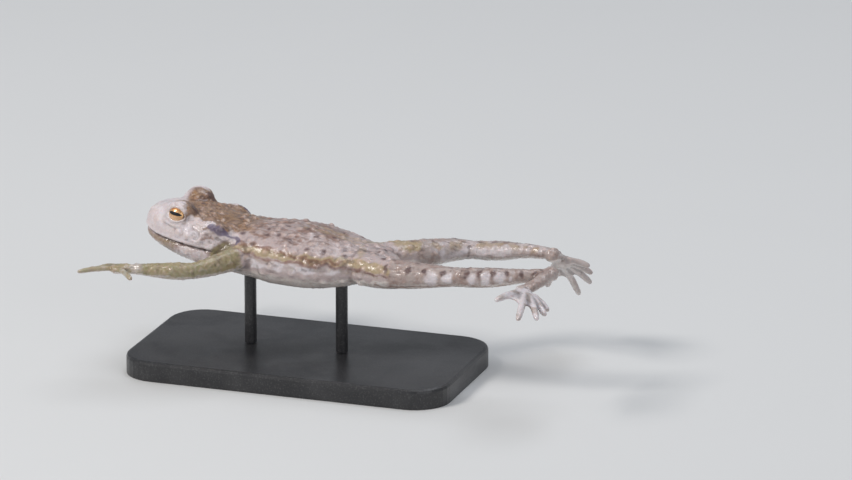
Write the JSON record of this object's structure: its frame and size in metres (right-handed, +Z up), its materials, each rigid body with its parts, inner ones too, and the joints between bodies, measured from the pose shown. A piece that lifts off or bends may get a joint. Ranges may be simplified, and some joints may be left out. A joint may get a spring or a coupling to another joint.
{
  "type": "common toad figure",
  "caption": "Life-size common toad swimming with its head raised and its legs trailing, held by a flat display stand.",
  "frame": {"origin": "middle of the footprint of toad and stand, at the height of the table", "axes": "+X from the snout back to the vent, -Y the toad's left side, +Z up"},
  "size_m": [0.1186, 0.0732, 0.0421],
  "materials": {
    "skin_back": "moist, warty, brown skin",
    "skin_limb": "moist, olive brown skin",
    "skin_foot": "moist, smooth skin",
    "eye_copper": "wet and glossy",
    "stand_black": "satin black"
  },
  "bodies": {
    "root": {"head": "skin_back", "torso": "skin_back", "eye_left": "eye_copper", "eye_right": "eye_copper", "upper_arm_left": "skin_limb", "upper_arm_right": "skin_limb", "forearm_left": "skin_limb", "forearm_right": "skin_limb", "hand_left": "skin_foot", "hand_right": "skin_foot", "thigh_left": "skin_limb", "thigh_right": "skin_limb", "shin_left": "skin_limb", "shin_right": "skin_limb", "tarsus_left": "skin_limb", "tarsus_right": "skin_limb", "foot_left": "skin_foot", "foot_right": "skin_foot", "stand_base": "stand_black", "stand_rod_front": "stand_black", "stand_rod_back": "stand_black"}
  },
  "joints": []
}
